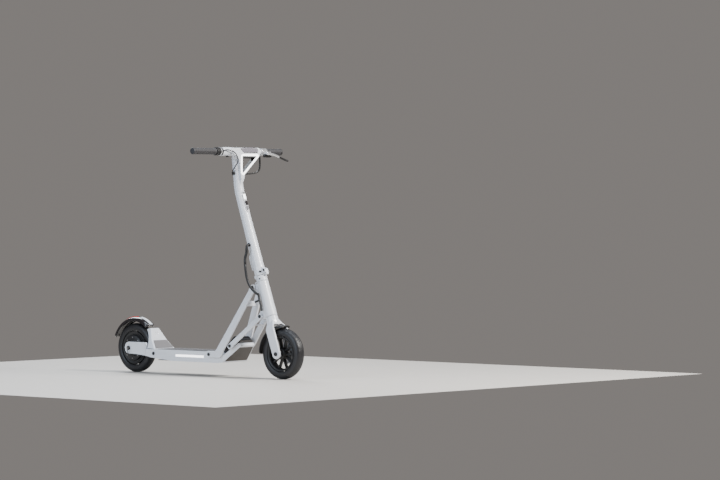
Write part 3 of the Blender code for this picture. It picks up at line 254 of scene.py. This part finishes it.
def prism(outline, low, high, bevel, turn, bm=None):
    """An outline extruded between two depths, with softened edges, turned into its plane."""
    local = bmesh.new()
    face = local.faces.new([local.verts.new((x, y, low)) for x, y in outline])
    grown = bmesh.ops.extrude_face_region(local, geom=[face])["geom"]
    far_verts = [element for element in grown if isinstance(element, bmesh.types.BMVert)]
    bmesh.ops.translate(local, vec=(0, 0, high - low), verts=far_verts)
    bmesh.ops.recalc_face_normals(local, faces=local.faces)
    if bevel:
        bmesh.ops.bevel(local, geom=local.edges[:], offset=bevel, segments=2, affect="EDGES",
                        clamp_overlap=True)
    bmesh.ops.transform(local, matrix=turn, verts=local.verts)
    if bm is None:
        return local
    mesh = bpy.data.meshes.new("joined_shape")
    local.to_mesh(mesh)
    local.free()
    bm.from_mesh(mesh)
    bpy.data.meshes.remove(mesh)
    return bm


def rounded_box(half_x, low_y, high_y, radius, steps=4):
    """A rectangle with round corners, as outline points."""
    points = []
    for corner, (x, y) in enumerate(((half_x, high_y), (-half_x, high_y), (-half_x, low_y), (half_x, low_y))):
        cx = x - math.copysign(radius, x)
        cy = y - radius if y == high_y else y + radius
        for k in range(steps + 1):
            turn = math.radians(90 * (corner + k / steps))
            points.append((cx + radius * math.cos(turn), cy + radius * math.sin(turn)))
    return points


def organic(node, body, voxel, passes, mat):
    """A cast or drawn CAD shape with its edges melted together, as the real casting or hose has them."""
    obj = bpy.data.objects.new(node + "_skin", nodes[node].data.copy())
    obj.data.materials.clear()
    obj.data.materials.append(mat)
    bpy.context.scene.collection.objects.link(obj)
    even = obj.modifiers.new("even", "REMESH")
    even.mode = "VOXEL"
    even.voxel_size = voxel
    even.use_smooth_shade = True
    soft = obj.modifiers.new("soft", "SMOOTH")
    soft.factor = 0.5
    soft.iterations = passes
    lighter = obj.modifiers.new("lighter", "DECIMATE")
    lighter.ratio = 0.5
    graph = bpy.context.evaluated_depsgraph_get()
    mesh = bpy.data.meshes.new_from_object(obj.evaluated_get(graph))
    obj.modifiers.clear()
    obj.data = mesh
    bpy.context.scene.collection.objects.unlink(obj)
    return finished(obj, body, (node,))


def fuller(node, body, grow, mat, smooth=True):
    """A CAD shape grown evenly outward, to its sheathed or sealed size."""
    mesh = nodes[node].data.copy()
    bm = bmesh.new()
    bm.from_mesh(mesh)
    bmesh.ops.remove_doubles(bm, verts=bm.verts, dist=1e-6)
    bm.normal_update()
    for vert in bm.verts:
        vert.co += vert.normal * grow * vert.calc_shell_factor()
    bm.to_mesh(mesh)
    bm.free()
    mesh.shade_smooth()
    if not smooth:
        mesh.set_sharp_from_angle(angle=math.radians(35))
    mesh.materials.clear()
    mesh.materials.append(mat)
    return finished(bpy.data.objects.new(node + "_skin", mesh), body, (node,))


def swept(name, knots, radii, mat, body, place, replaced=(), round_sides=6):
    """A smooth tapered rod through its control points."""
    curve = bpy.data.curves.new(name, "CURVE")
    curve.dimensions = "3D"
    curve.bevel_depth = 1.0
    curve.bevel_resolution = round_sides
    curve.use_fill_caps = True
    curve.resolution_u = 8
    spline = curve.splines.new("NURBS")
    spline.points.add(len(knots) - 1)
    spline.use_endpoint_u = True
    spline.order_u = 4
    for point, knot, radius in zip(spline.points, knots, radii):
        point.co = (*knot, 1)
        point.radius = radius
    holder = bpy.data.objects.new(name + "_curve", curve)
    mesh = bpy.data.meshes.new_from_object(holder)
    bpy.data.objects.remove(holder)
    mesh.transform(place)
    mesh.shade_smooth()
    mesh.materials.append(mat)
    return finished(bpy.data.objects.new(name, mesh), body, replaced)


def facing(point, direction):
    """A frame at a point whose Y axis looks along a direction."""
    return Matrix.Translation(point) @ Vector(direction).to_track_quat("Y", "Z").to_matrix().to_4x4()


def bolt(name, place, radius, height, body, mat):
    """A socket-head bolt that stands up along its frame's Y axis."""
    chamfer = radius * 0.15
    profile = [(0, -0.0015), (radius, -0.0015), (radius, height - chamfer), (radius - chamfer, height),
               (radius * 0.55, height), (radius * 0.50, height - chamfer), (radius * 0.50, height * 0.4),
               (0, height * 0.4)]
    return piece(name, spun(profile, 30, False), mat, body, place)


# ---- wheels ----
def tyre(name, node, body, place):
    """A road tyre: square shoulders, two grooves round the crown and short sipes on each shoulder."""
    crown, side, centre = 0.0235, 0.0180, WHEEL_R - 0.0235
    profile = []
    for k in range(57):
        turn = math.radians(-128 + 256 * k / 56)
        y = math.copysign(TYRE_HALF * abs(math.sin(turn)) ** 0.82, turn)
        reach = crown if abs(turn) < math.pi / 2 else side
        r = centre + math.copysign(reach * abs(math.cos(turn)) ** 0.80, math.cos(turn))
        if 0.0042 < abs(y) < 0.0066 and r > centre:
            r -= 0.0012
        profile.append((max(r, RIM_R - 0.001), y))
    bm = spun(profile, TYRE_STEPS)
    for vert in bm.verts:
        step = round(math.atan2(vert.co.z, vert.co.x) / math.tau * TYRE_STEPS)
        if step % SIPE_EVERY == 0 and 0.0100 < abs(vert.co.y) < 0.0205 and math.hypot(vert.co.x,
                                                                                      vert.co.z) > centre:
            pull = 1 - 0.0011 / WHEEL_R
            vert.co.x *= pull
            vert.co.z *= pull
    return piece(name, bm, RUBBER, body, place, (node,), 28)


def cast_rim():
    """Barrel with rolled lips, hub, and five tapered spokes."""
    barrel = [(0.0797, 0.0190), (0.0812, 0.0204), (0.0822, 0.0214), (0.0808, 0.0222), (0.0770, 0.0216),
              (0.0742, 0.0196),
              (0.0712, 0.0145), (0.0700, 0.0090)]
    bm = spun(mirrored(barrel), 96)
    hub = [(0.0143, 0.0230), (0.0235, 0.0230), (0.0262, 0.0215), (0.0270, 0.0180), (0.0262, 0.0110)]
    spun(mirrored(hub), 64, bm=bm)
    for k in range(SPOKE_PAIRS):
        for side in (-1, 1):
            spoke = [(0.0235, side * 0.0100), (0.0720, side * 0.0290), (0.0720, side * 0.0215),
                     (0.0235, side * 0.0010)]
            turn = Matrix.Rotation(math.radians(18 + 72 * k), 4, "Y") @ SIDE_ON
            prism(spoke[::side], -0.0095, 0.0095, 0.0018, turn, bm)
    piece("cast_rim", bm, BLACK, "front_wheel", FRONT, ("front_rim",))


def motor_shell():
    """The hub motor: cover faces with a machined step, and a ring of cover screws on each side."""
    half = [(0.0067, 0.0335), (0.0067, 0.0420), (0.0170, 0.0420), (0.0196, 0.0410), (0.0380, 0.0408),
            (0.0404, 0.0392),
            (0.0430, 0.0350), (0.0590, 0.0334), (0.0612, 0.0316), (0.0640, 0.0205), (0.0700, 0.0200),
            (0.0740, 0.0220),
            (0.0785, 0.0224), (0.0797, 0.0214)]
    bm = spun(mirrored(half), 96)
    piece("motor_shell_skin", bm, BLACK, "rear_wheel", REAR, ("hub_motor_shell",))
    for k in range(MOTOR_SCREWS):
        turn = math.tau * k / MOTOR_SCREWS
        for side in (-1, 1):
            spot = REAR_AXLE + Vector((MOTOR_SCREW_R * math.cos(turn), side * 0.0345,
                                       MOTOR_SCREW_R * math.sin(turn)))
            bolt("motor_screw_%d_%d" % (k, side + 1), facing(spot, (0, side, 0)), 0.0030, 0.0016,
                 "rear_wheel", STEEL)


def arched_band(name, section, start, end, steps, taper, place, mat, body, replaced):
    """A curved section swept round the wheel, drawn in to a round tip at each end."""
    bm = bmesh.new()
    rows = []
    for k in range(steps + 1):
        turn = math.radians(start + (end - start) * k / steps)
        near = min(k, steps - k) / steps * math.radians(end - start)
        width = math.sqrt(max(0.0, 1 - (1 - min(1.0, near / taper)) ** 2)) * 0.35 + 0.65
        rows.append([bm.verts.new((r * math.cos(turn), y * width, r * math.sin(turn))) for r, y in section])
    count = len(section)
    for low, high in zip(rows, rows[1:]):
        for i in range(count):
            bm.faces.new((low[i], low[(i + 1) % count], high[(i + 1) % count], high[i]))
    bm.faces.new(rows[0])
    bm.faces.new(rows[-1])
    return piece(name, bm, mat, body, place, replaced, 50)


def guard_section(crown, skirt, half, wall):
    """A low arch with turned-down skirts, of even thickness."""
    outer = []
    for k in range(17):
        turn = math.radians(-90 + 180 * k / 16)
        rise = abs(math.cos(turn)) ** 0.55
        outer.append((skirt + (crown - skirt) * rise, math.copysign(half * abs(math.sin(turn)) ** 0.75,
                                                                    turn)))
    inner = [(r - wall * (0.3 + 0.7 * (r - skirt) / (crown - skirt)), y * (half - wall) / half) for r,
             y in reversed(outer)]
    return outer + inner


def build_wheels():
    tyre("front_tyre_skin", "front_tyre", "front_wheel", FRONT)
    tyre("rear_tyre_skin", "rear_tyre", "rear_wheel", REAR)
    cast_rim()
    motor_shell()
    arched_band("front_guard", guard_section(0.1345, 0.1240, 0.0330, 0.0060), 82, 181, 60, 0.10, FRONT, BLACK,
                "steering", ("front_fender",))
    arched_band("rear_guard", guard_section(0.1500, 0.1310, 0.0300, 0.0025), 49, 160, 70, 0.10, REAR, GLOSS,
                "frame", ("rear_fender",))


# ---- castings and cables ----
def build_castings():
    organic("stem", "stem", 0.0013, 22, WHITE)
    organic("fork", "steering", 0.0013, 34, WHITE)
    organic("head_tube", "frame", 0.0014, 10, WHITE)
    organic("steering_collar", "steering", 0.0010, 8, WHITE)
    organic("upper_yoke", "frame", 0.0015, 10, WHITE)
    organic("lower_yoke", "frame", 0.0015, 10, WHITE)
    organic("cable_guide", "frame", 0.0009, 8, BLACK)
    organic("brake_clamp", "stem", 0.0009, 8, CAST)
    fuller("brake_hose", "stem", 0.0010, BLACK)
    fuller("throttle_cable", "stem", 0.0009, BLACK)
    fuller("head_liner", "stem", 0.0012, BLACK, smooth=False)
    organic("kickup_shield", "frame", 0.0014, 5, WHITE)


def held_cable(node):
    """One half of the main cable, grown to its sheathed size, with its placement baked in and no body to
    follow.
    """
    cable = fuller(node, None, 0.0006, BLACK)
    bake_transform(cable)


def build_main_cable():
    """The two halves of the cable, from the grommet on the stem down to the guide on the head tube."""
    held_cable("cable_upper")
    held_cable("cable_lower")


# ---- head, controls and lamps ----
def plate(name, half, low, high, front, thick, radius, mat, place):
    """A thin plate with round corners, let in to the front of the stem."""
    outline = rounded_box(half, low, high, radius)
    bm = prism(outline, front - thick, front, min(0.0005, thick / 3), FACE_ON)
    return piece(name, bm, mat, "stem", place)


def build_headlight():
    front = -HINGE_A + 0.0264
    plate("lamp_top_mark", 0.0052, STEM_TOP - 0.0262, STEM_TOP - 0.0205, front - 0.0004, 0.0012, 0.0015,
          BLACK, HINGE)
    plate("lamp_window", 0.0068, STEM_TOP - 0.0850, STEM_TOP - 0.0625, front + 0.0006, 0.0012, 0.0020, GLOSS,
          HINGE)
    plate("lamp_reflector", 0.0066, STEM_TOP - 0.1080, STEM_TOP - 0.0890, front, 0.0012, 0.0050, GREY, HINGE)


def ribbed(start, end, radius, lip, ribs):
    """A grip outline with shallow rings between two smooth ends."""
    profile = [(0.0113, start), (lip, start), (lip + 0.0004, start + 0.0020), (lip, start + 0.0045),
               (radius, start + 0.0070)]
    span = end - 0.0120 - (start + 0.0100)
    for k in range(ribs):
        at = start + 0.0100 + span * k / ribs
        pitch = span / ribs
        profile += [(radius, at), (radius - 0.0005, at + pitch * 0.55), (radius, at + pitch * 0.90)]
    return profile + [(radius, end - 0.0090), (radius + 0.0005, end - 0.0060),
                      (radius + 0.0005, end - 0.0025),
                      (radius - 0.0006, end - 0.0008), (radius - 0.0030, end), (0, end)]


def build_grips():
    bar = HEAD @ Matrix.Translation((0, 0, BAR_Z))
    flipped = bar @ Matrix.Rotation(math.pi, 4, "Z")
    piece("grip_right_skin", spun(ribbed(0.1520, BAR_HALF, 0.0152, 0.0163, 22), 48, False), GRIP, "stem",
          flipped,
          ("grip_right",))
    piece("grip_left_skin", spun(ribbed(0.1990, BAR_HALF, 0.0152, 0.0163, 14), 48, False), GRIP, "stem", bar,
          ("grip_left",))
    cap = [(0, BAR_HALF - 0.0015), (0.0100, BAR_HALF - 0.0015), (0.0128, BAR_HALF - 0.0030),
           (0.0159, BAR_HALF - 0.0060),
           (0.0159, BAR_HALF - 0.0110), (0.0150, BAR_HALF - 0.0125), (0, BAR_HALF - 0.0125)]
    piece("bar_end_left", spun(cap, 40, False), BLACK, "stem", bar)


def build_throttle():
    bar = HEAD @ Matrix.Translation((0, 0, BAR_Z))
    band = [(0.0195, -0.1200), (0.0204, -0.1206), (0.0207, -0.1235), (0.0204, -0.1264), (0.0195, -0.1270)]
    piece("throttle_band", spun(band, 56), CAST, "stem", bar)


def build_brake():
    pivot = HEAD @ Matrix.Translation((0.0540, 0.1800, BAR_Z - 0.0160))
    blade = [(-0.0020, -0.0240, 0.0010), (0.0, -0.0020, 0.0), (0.0010, 0.0220, -0.0040),
             (-0.0010, 0.0450, -0.0110),
             (-0.0030, 0.0600, -0.0160)]
    swept("lever_blade", blade, (0.0052, 0.0060, 0.0050, 0.0045, 0.0043), CAST, "brake_lever", pivot,
          ("brake_lever",))
    tip = [(-0.0024, 0.0540, -0.0140), (-0.0048, 0.0760, -0.0210), (-0.0068, 0.0940, -0.0260),
           (-0.0030, 0.1080, -0.0312),
           (-0.0010, 0.1150, -0.0334)]
    swept("lever_sleeve", tip, (0.0048, 0.0048, 0.0050, 0.0054, 0.0040), BLACK, "brake_lever", pivot)
    cylinder = [(0, 0.1520), (0.0060, 0.1520), (0.0078, 0.1540), (0.0082, 0.1600), (0.0082, 0.1900),
                (0.0070, 0.1925),
                (0.0070, 0.1990), (0.0052, 0.2010), (0, 0.2010)]
    place = HEAD @ Matrix.Translation((0.0300, 0, BAR_Z - 0.0225))
    piece("master_cylinder", spun(cylinder, 40, False), BLACK, "stem", place)


def build_display_shadow_line():
    # A black gloss strip below the display's front edge: painted shadow in the gap under the overhanging
    # display.
    outline = [(0.0205, 0.1752), (0.1180, 0.1752), (0.1188, 0.1775), (0.0190, 0.1775)]
    bm = prism(outline, FACE - 0.0006, FACE + 0.0010, 0.0003, FACE_ON)
    piece("display_line", bm, GLOSS, "stem", HEAD)


def build_bolts():
    toward_right_front = Vector((0.68, -0.73, 0))
    band = HINGE @ (Vector((-HINGE_A, 0, 0.0175)) + toward_right_front * 0.0276)
    bolt("band_bolt", facing(band, toward_right_front), 0.0050, 0.0026, "stem", BLACK)
    for side in (-1, 1):
        spot = HINGE @ (LATCH + Vector((0, side * 0.0138, 0)))
        bolt("latch_bolt_%d" % (side + 1), facing(spot, (0, side, 0)), 0.0052, 0.0024, "stem", BLACK)
    aside = Vector((0.35, -0.925, 0))
    collar = STEER @ (Vector((0, 0, JOINT_S - 0.0155)) + aside * 0.0268)
    bolt("collar_bolt", facing(collar, aside), 0.0040, 0.0022, "steering", BLACK)


# ---- deck ----
def add_stud(bm, x, y, base):
    """One low round stud with a flat top, sunk a little into the mat."""
    rings = []
    for radius, rise in ((0.0036, -0.0003), (0.0034, 0.0004), (0.0024, 0.0008)):
        turns = [math.tau * k / STUD_SIDES for k in range(STUD_SIDES)]
        rings.append([bm.verts.new((x + radius * math.cos(turn), y + radius * math.sin(turn), base + rise))
                      for turn in turns])
    for below, above in zip(rings, rings[1:]):
        for k in range(STUD_SIDES):
            after = (k + 1) % STUD_SIDES
            bm.faces.new((below[k], below[after], above[after], above[k]))
    bm.faces.new(rings[-1])
    bm.faces.new(rings[0])


def build_mat_studs():
    """Rows of studs on the foot mat, staggered row by row."""
    low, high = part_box("deck_mat")
    length = high[0] - low[0] - 2 * STUD_MARGIN
    width = high[1] - low[1] - 2 * STUD_MARGIN
    columns, rows = int(length / STUD_PITCH), int(width / STUD_PITCH)
    spare = (width - rows * STUD_PITCH) / 2
    bm = bmesh.new()
    for i in range(columns):
        for j in range(rows + 1 - i % 2):
            x = low[0] + STUD_MARGIN + STUD_PITCH * (i + 0.5)
            y = low[1] + STUD_MARGIN + STUD_PITCH * (j + 0.5 * (i % 2)) + spare
            add_stud(bm, x, y, high[2])
    piece("mat_studs", bm, STUD, "frame", Matrix.Identity(4))


# ---- studio ----
def build_camera():
    """A long lens a little above bar height's middle, ahead of the scooter on its right."""
    data = bpy.data.cameras.new("camera")
    data.lens = 165.0
    data.clip_end = 100.0
    camera = bpy.data.objects.new("camera", data)
    bpy.context.scene.collection.objects.link(camera)
    camera.location = (FRONT_AXLE.x + 10.585, -11.399, 0.8686)
    heading = math.radians(41.55)
    forward = Vector((-math.sin(heading), math.cos(heading), -math.tan(math.radians(0.781))))
    camera.rotation_euler = forward.to_track_quat("-Z", "Y").to_euler()
    bpy.context.scene.camera = camera


def build_floor():
    bm = bmesh.new()
    bmesh.ops.create_grid(bm, x_segments=8, y_segments=8, size=FLOOR_HALF)
    mesh = bpy.data.meshes.new("floor")
    bm.to_mesh(mesh)
    bm.free()
    floor = bpy.data.objects.new("floor", mesh)
    bpy.context.scene.collection.objects.link(floor)
    mesh.materials.append(grained("floor_paint", (0.60, 0.57, 0.53), 0.62, scale=40, bump=0.05, vary=0.03))


def build_lights():
    world = bpy.data.worlds.new("studio")
    bpy.context.scene.world = world
    world.use_nodes = True
    world.node_tree.nodes["Background"].inputs["Color"].default_value = (0.44, 0.41, 0.39, 1.0)
    world.node_tree.nodes["Background"].inputs["Strength"].default_value = 0.50
    for name, place, size, power, colour in (
            ("key", (4.0, 1.0, 3.4), 1.2, 420.0, (1.0, 0.97, 0.93)),
            ("fill", (-0.5, -5.0, 2.2), 3.0, 190.0, (0.72, 0.84, 1.0)),
            ("rim", (-3.5, 2.0, 3.0), 2.0, 120.0, (0.88, 0.94, 1.0)),
            ("sky", (0.5, 0.0, 5.0), 3.0, 150.0, (0.80, 0.89, 1.0))):
        light = bpy.data.lights.new(name, "AREA")
        light.size = size
        light.energy = power
        light.color = colour
        lamp = bpy.data.objects.new(name, light)
        lamp.location = place
        lamp.rotation_euler = (Vector((0, 0, 0.5)) - Vector(place)).to_track_quat("-Z", "Y").to_euler()
        bpy.context.scene.collection.objects.link(lamp)


build_camera()
build_floor()
build_lights()
dress_cad_nodes()
build_wheels()
build_castings()
build_main_cable()
build_headlight()
build_grips()
build_throttle()
build_brake()
build_display_shadow_line()
build_bolts()
build_mat_studs()
